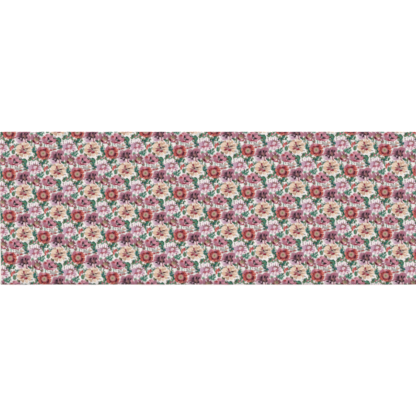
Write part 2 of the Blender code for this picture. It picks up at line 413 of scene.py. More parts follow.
# %% Green column
def green_column(brush):
    leaf(brush, (0, -10), (4, 2), 75, MIST)
    leaf(brush, (4, -7), (4, 2.6), -50, STONE)
    leaf(brush, (0.5, -2), (6, 4.2), 60, LEAF, TEAL)
    leaf(brush, (-4, 3), (6, 3.8), 80, TEAL, SAGE)
    leaf(brush, (2, 9.5), (6.5, 4), 25, FOREST, LEAF)
    leaf(brush, (6, 6), (4, 3), 0, TEAL)
    leaf(brush, (8, 16), (4.6, 4), 45, LEAF, FOREST)
    leaf(brush, (6, 21), (4, 3.4), 0, LEAF)
    leaf(brush, (1, 15), (2, 3), 20, STONE)


# %% Small chain
def small_chain(brush):
    leaf(brush, (3, -3), (4.8, 3.4), -20, LEAF)
    leaf(brush, (-8, -1), (6, 4.6), 70, LEAF, TEAL)
    leaf(brush, (-13, 1), (3, 5.4), 10, OLIVE)
    leaf(brush, (-12, 6), (5.4, 3), -30, LEAF, MOSS)
    leaf(brush, (-4, 4), (4.4, 3), 40, MOSS)
    leaf(brush, (-1, 0), (3, 3), 0, ROSE)
    leaf(brush, (6, 3), (3.4, 2.6), 0, MOSS)
    leaf(brush, (0, 7), (4.4, 2.2), -10, SAGE)
    leaf(brush, (9, -1), (3, 3.2), 0, PINK)
    leaf(brush, (13.5, 2), (3.6, 6.6), 5, LEAF, MOSS)


# %% Broad leaf
def broad_leaf(brush):
    leaf(brush, (2.5, -2), (11, 4.8), -58, TEAL, LEAF)
    leaf(brush, (7, -9), (4.6, 3), -50, OLIVE)
    leaf(brush, (-7, 6), (7, 5.4), 30, FOREST, TEAL)
    leaf(brush, (-9.5, -0.5), (4.4, 3.4), 0, MOSS)
    leaf(brush, (-5.5, 13), (6.5, 3.6), 75, TEAL, LEAF)
    leaf(brush, (-13, 6), (3.4, 4), 0, SAGE)
    leaf(brush, (10, 4.5), (5.6, 3), -78, FOREST, LEAF)
    leaf(brush, (3, 8), (4, 2), -20, MOSS)


# %% Long leaves
def long_leaves(brush):
    leaf(brush, (5, -26), (8.4, 3.6), -30, TEAL, LEAF)
    leaf(brush, (-1.5, -21), (5, 2.8), -35, MOSS)
    leaf(brush, (10, -29), (3.6, 2.2), -10, OLIVE)
    leaf(brush, (-6, -5.5), (7.6, 5.6), 88, FOREST)
    leaf(brush, (-8, -5.5), (6.6, 3), 88, LEAF)
    leaf(brush, (-4, -5), (6, 2.2), 88, MOSS)
    leaf(brush, (7, 7), (7, 3.8), 60, OLIVE, MOSS)
    leaf(brush, (1, -12), (3, 4), 0, SAGE)


# %% Bent leaves
def bent_leaves(brush):
    leaf(brush, (-6, 0), (8.4, 3.8), 52, FOREST, LEAF)
    leaf(brush, (5, -2), (8, 2.4), 84, SAGE, OLIVE)
    leaf(brush, (4.5, 9), (5.4, 2.2), 95, MOSS)
    leaf(brush, (14, 9.5), (4.4, 3), -50, SAGE)
    leaf(brush, (3, 13), (3.4, 2.6), 0, SAGE)
    leaf(brush, (4, -24), (4.8, 4.6), 0, SAGE, MOSS)
    leaf(brush, (9, -34), (7, 1.8), 88, MIST)
    leaf(brush, (16, -36), (4, 1.4), 95, MIST)


# %% Olive bud
def olive_bud(brush):
    brush((0, 0), (7, 6.6), 0, MIST, 0.4)
    brush((0, 0), (4.6, 5.2), 0, OLIVE, 0.3)
    brush((1, 0), (2.6, 3.2), 0, CLAY, 0.6)
    brush((-3, 7), (2.6, 2.6), 0, PINK, 0.6)
    brush((12, 2), (1.6, 9), 0, SAGE, 0.8)


# %% [markdown]
# ## Filling the ground
# A textile designer leaves no bare patch wide enough to catch the eye. Once the flowers and leaf
# groups are in place, single small leaves, some green and some brown, grey or rose, go into what is
# left between them.


# %% Sowing small leaves
def sow(brush, rows):
    """Small leaves from rows of place, length, width, lean and dye."""
    for x, y, length, width, turn, body in rows:
        leaf(brush, (x, y), (length, width), turn, body)


# %% Small leaves in the field
def field_leaves(brush):
    greens = (
        (38, 29, 4, 2.6, 60, MOSS),
        (35, -20, 5, 3, -60, MOSS),
        (23, -22, 4, 2.6, 40, FOREST),
        (43, 41, 4, 2.4, -30, SAGE),
        (9, 54, 5, 2.6, 30, MOSS),
        (-22, -24, 4, 2.4, 50, MOSS),
        (45, 25, 4, 2.2, 70, MOSS),
        (-20, -11, 4, 3, 60, SAGE),
    )
    sow(brush, greens)
    others = (
        (7, 45, 4, 3.4, -50, OLIVE),
        (-3, 37, 4, 2.4, 50, OLIVE),
        (-8, 25, 3.6, 2.4, 80, OLIVE),
        (-35, -29, 4, 2.6, -20, OLIVE),
        (-26, -33, 4, 3, 45, CLAY),
        (17, -18, 4, 2, 30, CLAY),
        (-20, -7, 2.4, 3, 0, STONE),
        (38, -3, 5, 2, 80, SAND),
        (51, 3, 4, 2, 80, STONE),
        (-11, -13, 4.4, 2.2, 30, STONE),
        (0, 33, 3.6, 2.4, 10, STONE),
        (-18, -34, 4, 2.4, 20, ROSE),
        (28, 48, 3, 2, 40, STONE),
        (26, 38, 3.4, 2, -20, MOSS),
        (27, 30, 3, 1.6, 60, STONE),
        (45, -6, 3.4, 2, 60, MOSS),
        (32, -10, 4, 2, 70, STONE),
        (33, 20, 4, 2, 10, STONE),
        (20, 56, 4, 2, 80, STONE),
        (-27, 60, 4, 1.6, 60, STONE),
    )
    sow(brush, others)


# %% Small leaves at the border
def border_leaves(brush):
    greens = (
        (-33, -4, 5, 3, 60, TEAL),
        (13, -10, 4.4, 2.6, 70, MOSS),
        (7, -19, 5, 2.8, -60, FOREST),
        (3, -26, 4, 2.4, 30, MOSS),
        (-5, -47, 4.6, 3, 60, FOREST),
        (0, 17, 4, 2.4, -40, SAGE),
    )
    sow(brush, greens)
    others = (
        (-36, 4, 4, 2.4, 20, CLAY),
        (-3, -2, 4, 2.4, -30, ROSE),
        (5, 9, 4, 2, 40, MAUVE),
        (4, 49, 3, 2.2, -30, CLAY),
    )
    sow(brush, others)


# %% [markdown]
# ## Where each drawing goes
# The list gives each drawing its centre in the repeat, in millimetres, in the order of laying down:
# foliage first, flowers over it, and the small leaves last.

# %% The layout of the repeat
MOTIFS = {
    "teal_sprig": ((120.0, 20.0), teal_sprig),
    "dark_spray": ((179.0, 50.0), dark_spray),
    "green_column": ((99.0, 72.0), green_column),
    "small_chain": ((98.0, 102.0), small_chain),
    "broad_leaf": ((132.0, 112.0), broad_leaf),
    "long_leaves": ((38.0, 86.0), long_leaves),
    "bent_leaves": ((88.0, 46.0), bent_leaves),
    "olive_bud": ((122.0, 58.0), olive_bud),
    "lilac_daisy": ((102.0, 132.0), lilac_daisy),
    "white_violet": ((160.0, 66.0), white_violet),
    "peach_peony": ((66.0, 74.0), peach_peony),
    "rust_cup": ((108.0, 41.0), rust_cup),
    "rose_anemone": ((37.0, 109.0), rose_anemone),
    "mauve_poppy": ((175.0, 98.0), mauve_poppy),
    "coral_gerbera": ((130.0, 86.0), coral_gerbera),
    "coral_buds": ((28.0, 66.0), coral_buds),
    "field_leaves": ((56.0, 68.0), field_leaves),
    "border_leaves": ((0.0, 68.0), border_leaves),
}
print("layout:", len(MOTIFS), "drawings in the repeat")

# %% [markdown]
# ## Printing nodes
# Every drawing becomes one node group. A dab is an ellipse: four sums carry a place into the dab's
# own axes, two more say how far out it is, and a smooth step makes that a mask between the colour so
# far and the dab's dye. Mapping nodes would be shorter, but Cycles holds the result of every one of
# them at once and runs out of room after about sixty, while a chain of plain numbers is freed link
# by link. Brush edges that are too clean look like a computer's, so the place wobbles a little
# first, as dye creeps along the threads.


# %% Dabs
def dab(tree, x, y, at, size, turn):
    """How far out a place is in a dab's own axes, squared: 0 at its middle and 1 on its edge."""
    cos, sin = math.cos(math.radians(turn)), math.sin(math.radians(turn))
    along = maths(tree, "MULTIPLY_ADD", x, cos / size[0], -(at[0] * cos + at[1] * sin) / size[0])
    along = maths(tree, "MULTIPLY_ADD", y, sin / size[0], along)
    across = maths(tree, "MULTIPLY_ADD", x, -sin / size[1], (at[0] * sin - at[1] * cos) / size[1])
    across = maths(tree, "MULTIPLY_ADD", y, cos / size[1], across)
    return maths(tree, "MULTIPLY_ADD", across, across, maths(tree, "MULTIPLY", along, along))


def draw_motif(name, drawing):
    """A group that lays one drawing over a colour. X and Y are in millimetres from its centre."""
    sockets = [("Colour", "Color", None), ("X", "Float", 0.0), ("Y", "Float", 0.0)]
    tree, start, end = group(name, sockets, [("Colour", "Color")])
    so_far = [start.outputs["Colour"]]

    def brush(at, size, turn, colour, soft=0.25):
        out = dab(tree, start.outputs["X"], start.outputs["Y"], at, size, turn)
        mask = spread(tree, out, (1 + soft) ** 2, (1 - soft) ** 2)
        so_far[0] = mix(tree, mask, so_far[0], colour)
        dabs.append(name)

    drawing(brush)
    tree.links.new(so_far[0], end.inputs[0])
    return tree


# %% [markdown]
# ## The repeat
# A screen repeats down the cloth once per turn of its roller, and neighbouring columns of this print
# are shifted by half a repeat, which textile designers call a half drop. It hides the columns. The
# group below finds the nearest copy of a motif's centre and gives the place from there.

# %% Half drop
COLUMN = 111.65  # millimetres from column to column
REPEAT = 136.5  # millimetres down the cloth


def half_drop():
    """The place from the nearest copy of a centre, on columns shifted by half a repeat."""
    sockets = [(title, "Float", 0.0) for title in ("X", "Y", "Centre X", "Centre Y")]
    tree, start, end = group("half_drop", sockets, [("X", "Float"), ("Y", "Float")])
    across = maths(tree, "SUBTRACT", start.outputs["X"], start.outputs["Centre X"])
    down = maths(tree, "SUBTRACT", start.outputs["Y"], start.outputs["Centre Y"])
    column = maths(tree, "ROUND", maths(tree, "DIVIDE", across, COLUMN))
    down = maths(tree, "MULTIPLY_ADD", column, -REPEAT / 2, down)
    row = maths(tree, "ROUND", maths(tree, "DIVIDE", down, REPEAT))
    tree.links.new(maths(tree, "MULTIPLY_ADD", column, -COLUMN, across), end.inputs["X"])
    tree.links.new(maths(tree, "MULTIPLY_ADD", row, -REPEAT, down), end.inputs["Y"])
    return tree


# %% [markdown]
# ## Cloth coordinates
# The cloth carries its own map: its first number runs across from the middle of the cloth, the
# second down from the cut end, both in metres. The print hardly ever sits square on it: weft threads
# bow and skew a few millimetres as the cloth is dried on its frame, and the flowers follow.

# %% Bow and skew
HALF_PRINT = 0.6784  # metres from the middle to the place where the next three hold
SKEW = 10.4  # millimetres that a row of flowers has run down the cloth by there
BOW = -2.8  # millimetres that it has bent, the same way at both sides
CURL = -5.2  # millimetres that it has bent, the opposite way at each side
PRINT_START = (-1.6, 248.5)  # millimetres from the cloth's own zero to the print's


def printed_place():
    """The place on the print, in millimetres, for a place on the cloth."""
    tree, start, end = group("bow_and_skew", [("Cloth", "Vector", None)], [("Place", "Vector")])
    parts = node(tree, "SeparateXYZ", {0: start.outputs["Cloth"]}).outputs
    side = maths(tree, "DIVIDE", parts[0], HALF_PRINT)
    bow = maths(tree, "MULTIPLY_ADD", side, CURL, BOW)
    bow = maths(tree, "MULTIPLY_ADD", bow, side, SKEW)
    bow = maths(tree, "MULTIPLY", bow, side)
    x = maths(tree, "MULTIPLY_ADD", parts[0], 1000.0, PRINT_START[0])
    y = maths(tree, "MULTIPLY_ADD", parts[1], -1000.0, PRINT_START[1])
    y = maths(tree, "ADD", y, bow)
    tree.links.new(node(tree, "CombineXYZ", {0: x, 1: y}).outputs[0], end.inputs[0])
    return tree


# %% The whole print
CREEP = 5.0  # millimetres that the noise may carry the dye, from one extreme to the other


def flower_print():
    """All the motifs over the ground, for a place on the cloth."""
    tree, start, end = group("flower_print", [("Cloth", "Vector", None)], [("Colour", "Color")])
    bowed = place_group(tree, printed_place(), {"Cloth": start.outputs["Cloth"]}).outputs[0]
    creep = node(tree, "TexNoise", {"Vector": bowed, "Scale": 0.22, "Detail": 2.0}).outputs["Color"]
    creep = node(tree, "VectorMath", {0: creep, 1: (0.5, 0.5, 0.5)}, operation="SUBTRACT").outputs[0]
    creep = node(tree, "VectorMath", {0: creep, "Scale": CREEP}, operation="SCALE").outputs[0]
    place = node(tree, "VectorMath", {0: bowed, 1: creep}, operation="ADD").outputs[0]
    x, y, _ = node(tree, "SeparateXYZ", {0: place}).outputs
    nearest = half_drop()
    wash = node(tree, "TexNoise", {"Vector": bowed, "Scale": 0.035, "Detail": 3.0}).outputs["Fac"]
    colour = mix(tree, spread(tree, wash, 0.46, 0.74), GROUND, MIST)
    for name, (centre, drawing) in MOTIFS.items():
        numbers = {"X": x, "Y": y, "Centre X": centre[0], "Centre Y": centre[1]}
        away = place_group(tree, nearest, numbers).outputs
        numbers = {"X": away["X"], "Y": away["Y"], "Colour": colour}
        made = place_group(tree, draw_motif(name, drawing), numbers)
        colour = made.outputs["Colour"]
    tree.links.new(colour, end.inputs[0])
    return tree


dabs = []
FLOWER_PRINT = flower_print()
print("print:", len(MOTIFS), "motifs drawn with", len(dabs), "dabs")

# %% [markdown]
# ## Weave
# Under the dye is a plain weave: each weft thread passes over one warp thread and under the next.
# Two sine waves multiplied together make that chequer of raised crossings, and a slow noise makes
# some threads thicker, the slubs that show a spun yarn. It gives a height for a Bump node and a
# painted shade: the colour is darker where the threads lie low, standing in for the shadow there.


# %% Plain weave
def plain_weave():
    """Height of a plain weave, and painted shade where it is low. Pitch: thread spacing, in metres."""
    sockets = [("Cloth", "Vector", None), ("Pitch", "Float", 0.0004), ("Slub", "Float", 0.3)]
    tree, start, end = group("plain_weave", sockets, [("Height", "Float"), ("Shade", "Float")])
    parts = node(tree, "SeparateXYZ", {0: start.outputs["Cloth"]}).outputs
    waves = []
    for way in (0, 1):
        turns = maths(tree, "DIVIDE", parts[way], start.outputs["Pitch"])
        waves.append(maths(tree, "SINE", maths(tree, "MULTIPLY", turns, math.pi)))
    crossing = maths(tree, "MULTIPLY", waves[0], waves[1])
    stretch = {"Vector": start.outputs["Cloth"], "Scale": (1800.0, 60.0, 1.0)}
    threads = node(tree, "Mapping", stretch).outputs[0]
    slub = node(tree, "TexNoise", {"Vector": threads, "Scale": 1.0, "Detail": 2.0}).outputs["Fac"]
    slub = maths(tree, "MULTIPLY", maths(tree, "SUBTRACT", slub, 0.5), start.outputs["Slub"])
    height = maths(tree, "MULTIPLY_ADD", maths(tree, "ABSOLUTE", crossing), 0.5, slub)
    tree.links.new(height, end.inputs["Height"])
    # painted shade: darker where the weave lies low, standing in for the shadow between threads
    painted_shade = maths(tree, "MULTIPLY_ADD", height, 0.16, 0.90)
    tree.links.new(painted_shade, end.inputs["Shade"])
    return tree


PLAIN_WEAVE = plain_weave()

# %% [markdown]
# ## Printed cotton
# The face and the wrong side are the same cloth. Dye goes in from the face and only part of it comes
# through, so the wrong side is the same print, paler and softer. Along each selvedge the print stops
# short: a band of bare cloth with a row of pin holes from the drying frame, drawn as grey dots of
# painted shade where no hole is cut, and the small round registration dots, one for each screen.

# %% Selvedge and cotton
HALF_CLOTH = 0.692
PRINT_EDGE = 0.680  # from the middle, where the print stops
PIN_LINE = 0.687
PIN_PITCH, PIN_RADIUS = 0.008, 0.0005
DOT_LINE = 0.6835
DOT_PITCH, DOT_RADIUS = 0.006, 0.0018
DOT_ROW = REPEAT / 1000 * 4  # metres from one row of dots to the next
DOT_DYES = [CRIMSON, CORAL, PINK, MAUVE, PEACH, CLAY, OLIVE, LEAF, TEAL, SAGE, INK, STONE]


def dot_row(tree, colour, x, y, line, pitch, start, radius, dot_dye):
    """A row of dots down the cloth, drawn over a colour."""
    turns = maths(tree, "DIVIDE", maths(tree, "SUBTRACT", y, start), pitch)
    along = maths(tree, "MULTIPLY", maths(tree, "SUBTRACT", maths(tree, "FRACT", turns), 0.5), pitch)
    out = dab(tree, x, along, (line, 0), (radius, radius), 0)
    return mix(tree, spread(tree, out, 1.3, 0.7), colour, dot_dye)


def selvedge():
    """Bare cloth past the print's edge, with pin holes as grey dots of painted shade, and registration
    dots.
    """
    sockets = [("Colour", "Color", None), ("Cloth", "Vector", None)]
    tree, start, end = group("selvedge", sockets, [("Colour", "Color")])
    x, y, _ = node(tree, "SeparateXYZ", {0: start.outputs["Cloth"]}).outputs
    out = maths(tree, "ABSOLUTE", x)
    bare = spread(tree, out, PRINT_EDGE - 0.0004, PRINT_EDGE + 0.0004)
    colour = mix(tree, bare, start.outputs["Colour"], GROUND)
    # pin holes: grey dots of painted shade, standing in for holes that are not cut
    colour = dot_row(tree, colour, out, y, PIN_LINE, PIN_PITCH, 0.0, PIN_RADIUS, STONE)
    for number, dot_dye in enumerate(DOT_DYES):
        shift = DOT_PITCH * number
        colour = dot_row(tree, colour, x, y, DOT_LINE, DOT_ROW, shift, DOT_RADIUS, dot_dye)
    tree.links.new(colour, end.inputs[0])
    return tree


SELVEDGE = selvedge()
BLEACHED = 0.82  # the share of light that the whitest cotton throws back


def cotton(name, dye_left):
    """Printed cotton, with the share of the print's strength that this side shows."""
    made = bpy.data.materials.new(name)
    made.use_nodes = True
    tree = made.node_tree
    shader = tree.nodes["Principled BSDF"]
    cloth = node(tree, "UVMap", uv_map="cloth").outputs[0]
    printed = place_group(tree, FLOWER_PRINT, {"Cloth": cloth}).outputs[0]
    printed = mix(tree, dye_left, GROUND, printed)
    edged = place_group(tree, SELVEDGE, {"Colour": printed, "Cloth": cloth}).outputs[0]
    weave = place_group(tree, PLAIN_WEAVE, {"Cloth": cloth})
    # the weave's painted shade darkens the print between the threads
    painted_shade = maths(tree, "MULTIPLY", weave.outputs["Shade"], BLEACHED)
    grey = node(tree, "CombineColor", {0: painted_shade, 1: painted_shade, 2: painted_shade}).outputs[0]
    tree.links.new(mix(tree, 1.0, edged, grey, "MULTIPLY"), shader.inputs["Base Color"])
    bump = {"Height": weave.outputs["Height"], "Distance": 0.00008, "Strength": 0.5}
    tree.links.new(node(tree, "Bump", bump).outputs[0], shader.inputs["Normal"])
    shader.inputs["Roughness"].default_value = 0.9
    shader.inputs["Specular IOR Level"].default_value = 0.2
    shader.inputs["Sheen Weight"].default_value = 0.06
    shader.inputs["Sheen Roughness"].default_value = 0.6
    return made


COTTON_FACE = cotton("printed_cotton_face", dye_left=1.0)
COTTON_BACK = cotton("printed_cotton_wrong_side", dye_left=0.42)

# %% [markdown]
# ## The turns of cloth
# Cloth on a bolt is one long sheet in a flat spiral. Its side view is a path: from the cut end back
# along the top, down the back edge, forward underneath, up the front edge, and in by one thickness
# each turn. One function walks that whole path and every piece of cloth is a stretch of it, so the
# pieces meet exactly and the print runs on from one to the next. Rings stacked as separate closed
# loops would be easier, but they would show no cut end and could not be unrolled.

# %% The winding path
CLOTH = 0.0003  # thickness of the cotton
PITCH = 0.0004  # what one turn adds, with the air between the turns
TURNS = 25
ALONG_FLATS, ALONG_EDGES = 0.02, 0.008  # metres between points on the path
TIGHTEST = 0.0008  # radius of the innermost bends
lap_low, lap_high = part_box("free_lap")
strip_low, strip_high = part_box("back_strip")
wound_low, wound_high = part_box("wound_cloth")
bend = strip_low.z  # radius of the outermost bends at the back edge
CUT_EDGE = lap_low.y
board_low, board_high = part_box("board_wrap")
MIDDLE_LEVEL = (board_low.z + board_high.z) / 2


def turn_extents(turn):
    """The top, back, bottom and front of one turn's middle line, counted from the outside."""
    if turn == 0:
        top = lap_high.z - CLOTH / 2
        back = strip_high.y - CLOTH / 2
    else:
        top = wound_high.z - CLOTH / 2 - PITCH * (turn - 1)
        back = wound_high.y - CLOTH / 2 - PITCH * (turn - 1)
    return top, back, wound_low.z + CLOTH / 2 + PITCH * turn, wound_low.y + CLOTH / 2 + PITCH * turn


def quarter(start, end, upright_first, steps=8):
    """Points of a quarter ellipse from start to end, both left out."""
    points = []
    for step in range(1, steps):
        angle = math.pi / 2 * step / steps
        share = (1 - math.cos(angle), math.sin(angle))
        across, up = share if upright_first else share[::-1]
        y = start[0] + (end[0] - start[0]) * across
        z = start[1] + (end[1] - start[1]) * up
        points.append((y, z))
    return points


def straight(start, end, spacing=ALONG_FLATS):
    """Evenly spaced points from start to end, both kept."""
    count = max(2, round(math.dist(start, end) / spacing) + 1)
    return [tuple(p) for p in np.linspace(start, end, count)]


def winding():
    """The whole path as rows of y, z and turn number, from the cut end inwards."""
    rows = []
    for turn in range(TURNS):
        top, back, bottom, front = turn_extents(turn)
        radius = max(TIGHTEST, bend - PITCH * turn)
        begin = CUT_EDGE if turn == 0 else front - PITCH + radius
        upper = straight((begin, top), (back - radius, top))
        down = straight((back, top - radius), (back, bottom + radius), ALONG_EDGES)
        lower = straight((back - radius, bottom), (front + radius, bottom))
        next_top = turn_extents(turn + 1)[0]
        rise = straight((front, bottom + radius), (front, next_top - radius), ALONG_EDGES)
        corners = (
            quarter(upper[-1], down[0], False),
            quarter(down[-1], lower[0], True),
            quarter(lower[-1], rise[0], False),
            quarter(rise[-1], (front + radius - PITCH, next_top), True),
        )
        for stretch in (upper, corners[0], down, corners[1], lower, corners[2], rise, corners[3]):
            rows += [(y, z, turn) for y, z in stretch]
    return np.array(rows)


WINDING = winding()
STEPS = np.linalg.norm(np.diff(WINDING[:, :2], axis=0), axis=1)
FROM_CUT = np.concatenate([[0.0], np.cumsum(STEPS)])
print("cloth on the bolt:", round(float(FROM_CUT[-1]), 2), "m in", TURNS, "turns")

# %% [markdown]
# ## Slackness
# A machine lays the turns under light tension, so the pile is never a flat slab. It is softest in
# the middle, swells there, and long shallow waves run through it. The free lap is not held at all:
# its cut edge lifts a little in places. All the turns share one swell, which fades towards the board,
# so they never pass through one another.

# %% Swell of the pile
SWELL = 0.0004  # how far the top turn stands out in the middle
LIFT = 0.0003  # how far the cut edge lifts off, on average
LIFT_REACH = 0.05  # how far in from the cut edge the lift fades out
DRAWN_IN = 0.0016  # how much narrower the tightly wound cloth lies, each side


def swell(x, y, turn):
    """How far the pile stands out of its flat shape at a place on a turn, in metres."""
    share = 1 - turn / TURNS
    crown = 1 - np.abs(y / 0.25) ** 3
    waves = 0.35 * np.sin(x * 9.1 + 1.3 * np.sin(y * 11 + 0.7)) + 0.25 * np.sin(x * 21 - y * 17 + 2.1)
    return SWELL * share * np.clip(crown, 0, 1) * (1 + 0.5 * waves)


def lifted_edge(x, from_cut):
    """How far the free lap's cut edge lifts off the turn below."""
    near = np.clip(1 - from_cut / LIFT_REACH, 0, 1) ** 2
    return near * LIFT * (1 + np.sin(x * 7.3 + 0.4)) * (1 + 0.6 * np.sin(x * 23.0))


def stagger(turn, side):
    """How far one turn's selvedge lies in or out of line with the rest."""
    return side * 0.0011 * np.sin(turn * 2.4 + 0.8 * side) + 0.0005 * np.sin(turn * 5.1)


# %% Print drift
TOP_MIDDLE = 0.25  # metres from the cut end to the middle of the top
TOP_REACH = 0.248  # metres from there to where the drift stops
SLIDE, SLIDE_BEND = 0.00215, 0.0014  # how far the print has slid by there, and bent


def drift(from_cut):
    """How far the print has slid across the cloth at a distance from the cut end."""
    down = np.clip((TOP_MIDDLE - from_cut) / TOP_REACH, -1, 1)
    return -SLIDE * down - SLIDE_BEND * down**2


# %% [markdown]
# ## A stretch of the sheet
# A sheet is a grid of points with a UV map, given thickness by a Solidify modifier. Solidify's second
# material goes on the inner side and the rim, which is how the wrong side of the cloth gets its paler
# finish.


# %% Grid meshes
def grid_mesh(name, rows, cloth_map=None):
    """A mesh of quads over a grid of points, with a cloth map if one is given."""
    points = np.asarray(rows)
    tall, wide = points.shape[:2]
    index = np.arange(tall * wide).reshape(tall, wide)
    corners = (index[:-1, :-1], index[:-1, 1:], index[1:, 1:], index[1:, :-1])
    faces = np.stack(corners, axis=-1).reshape(-1, 4)
    mesh = bpy.data.meshes.new(name)
    mesh.from_pydata(points.reshape(-1, 3).tolist(), [], faces.tolist())
    mesh.shade_smooth()
    if cloth_map is not None:
        layer = mesh.uv_layers.new(name="cloth")
        layer.data.foreach_set("uv", cloth_map.reshape(-1, 2)[faces.ravel()].ravel())
    made = bpy.data.objects.new(name, mesh)
    bpy.context.scene.collection.objects.link(made)
    return made


def thicken(piece, thickness, outer, inner):
    """Solidify about the middle, with one material outside and another inside and on the rim."""
    piece.data.materials.append(outer)
    piece.data.materials.append(inner)
    solid = piece.modifiers.new("thickness", "SOLIDIFY")
    solid.thickness = thickness
    solid.offset = 0
    solid.material_offset = 1
    solid.material_offset_rim = 1
    return piece


SAME_PLACE = 1e-5  # metres along the path


def cloth_piece(name, first, last, columns):
    """The sheet between two distances from the cut end, across the whole width."""
    inside = FROM_CUT[(FROM_CUT > first + SAME_PLACE) & (FROM_CUT < last - SAME_PLACE)]
    down = np.concatenate([[first], inside, [last]])
    y = np.interp(down, FROM_CUT, WINDING[:, 0])[:, None]
    z = np.interp(down, FROM_CUT, WINDING[:, 1])[:, None]
    turn = np.interp(down, FROM_CUT, WINDING[:, 2])[:, None]
    across = np.linspace(-1, 1, columns)[None, :]
    shift = np.where(across < 0, -stagger(turn, -1), stagger(turn, 1))
    x = across * (HALF_CLOTH - DRAWN_IN + shift)
    y, z, turn, down = (np.broadcast_to(a, x.shape) for a in (y, z, turn, down[:, None]))
    upper = np.clip((z - MIDDLE_LEVEL) / (0.5 * (lap_high.z - wound_low.z)), 0, 1)
    rise = swell(x, y, turn) * np.clip(upper * 1.6 - 0.2, 0, 1)
    rise = rise + np.where(turn < 1, lifted_edge(x, down), 0)
    points = np.stack([x, y, z + rise], axis=-1)
    cloth_map = np.stack([across * HALF_CLOTH + drift(down), down], axis=-1)
    made = thicken(grid_mesh(name, points, cloth_map), CLOTH, COTTON_FACE, COTTON_BACK)
    print(name, round(last - first, 3), "m of cloth,", len(made.data.polygons), "quads")
    return made


def underneath(turn, y):
    """The distance from the cut end of a place on one turn's underside."""
    there = (WINDING[:, 2] == turn) & (WINDING[:, 1] < MIDDLE_LEVEL)
    order = np.argsort(WINDING[there, 0])
    return float(np.interp(y, WINDING[there, 0][order], FROM_CUT[there][order]))


# %% [markdown]
# ## The free lap
# The free end turns back over the top bend and again over the bottom bend. It is built as two
# stretches of the path that meet in the middle of the strip behind, where both follow it exactly.

# %% Free lap and the turn under it
SPLIT_LINE = -0.15  # underneath, where one length of cloth ends and the next begins
behind = (WINDING[:, 2] == 0) & (WINDING[:, 0] > 0)
middle_of_strip = float(np.interp(-MIDDLE_LEVEL, -WINDING[behind, 1], FROM_CUT[behind]))
top_lap = cloth_piece("top_lap", 0.0, middle_of_strip, 140)
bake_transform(top_lap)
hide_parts("free_lap", "back_strip")

underside_split = underneath(0, SPLIT_LINE)
back_turn = cloth_piece("back_turn", middle_of_strip, underside_split, 100)
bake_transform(back_turn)

# %% Turns that stay on the board
second_split = underneath(1, SPLIT_LINE)
second_turn = cloth_piece("second_turn", underside_split, second_split, 100)
inner_turns = cloth_piece("inner_turns", second_split, float(FROM_CUT[-1]), 24)
for piece in (second_turn, inner_turns):
    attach(piece, "bolt")
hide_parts("wound_cloth")
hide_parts("wound_cloth")

# %% [markdown]
# ## The board
# The board inside is a blank of corrugated fibreboard: two paper liners with a fluted sheet glued
# between them, folded into a flat tube with its joint underneath. Only its ends show, so that is
# where the detail belongs: the wave of the fluting between the liners, crushed at each crease. The
# wave runs along the folded path, and the sheets are then drawn out along the bolt.

# %% Kraft paper
KRAFT = dye("b08a5e")
KRAFT_DARK = dye("8f6c46")


def paper(name, light, dark, grain=1.0, roughness=0.85):
    """Paper with long fibres one way, soft blotches, and dark specks."""
    made = bpy.data.materials.new(name)
    made.use_nodes = True
    tree = made.node_tree
    shader = tree.nodes["Principled BSDF"]
    place = node(tree, "TexCoord").outputs["Object"]
    fibres = node(tree, "Mapping", {"Vector": place, "Scale": (120.0, 900.0, 900.0)}).outputs[0]
    fibre = node(tree, "TexNoise", {"Vector": fibres, "Scale": 1.0, "Detail": 4.0}).outputs["Fac"]
    blotch = node(tree, "TexNoise", {"Vector": place, "Scale": 28.0, "Detail": 3.0}).outputs["Fac"]
    speck = node(tree, "TexNoise", {"Vector": place, "Scale": 1400.0, "Detail": 1.0}).outputs["Fac"]
    streaks = spread(tree, fibre, 0.35, 0.7, 0, 0.6)
    share = maths(tree, "ADD", streaks, spread(tree, blotch, 0.3, 0.7, 0, 0.4))
    colour = mix(tree, maths(tree, "MULTIPLY", share, grain), light, dark)
    colour = mix(tree, spread(tree, speck, 0.70, 0.78, 0, 0.5 * grain), colour, KRAFT_DARK)
    tree.links.new(colour, shader.inputs["Base Color"])
    rough = spread(tree, fibre, 0.3, 0.7, roughness - 0.06, min(1.0, roughness + 0.06))
    tree.links.new(rough, shader.inputs["Roughness"])
    bump = {"Height": fibre, "Distance": 0.0001, "Strength": 0.35}
    tree.links.new(node(tree, "Bump", bump).outputs[0], shader.inputs["Normal"])
    shader.inputs["Specular IOR Level"].default_value = 0.3
    return made


KRAFT_PAPER = paper("kraft_liner", KRAFT, dye("9a7448"))
FLUTING = paper("fluting_medium", dye("a17c52"), dye("876440"))
GUMMED = paper("gummed_tape", dye("b98a52"), dye("a37540"), 0.7, 0.55)
MASKING = paper("masking_tape", dye("d8c08c"), dye("c8ad76"), 0.6, 0.7)

# %% Corrugated sheet
WALL = 0.003
LINER = 0.00028
FLUTE = 0.0062  # from crest to crest
FOLD_RADIUS = 0.0015
STATIONS = 3  # rows of points from one end of a sheet to the other
CLEAR = 0.0004  # keeps two sheets of board from touching


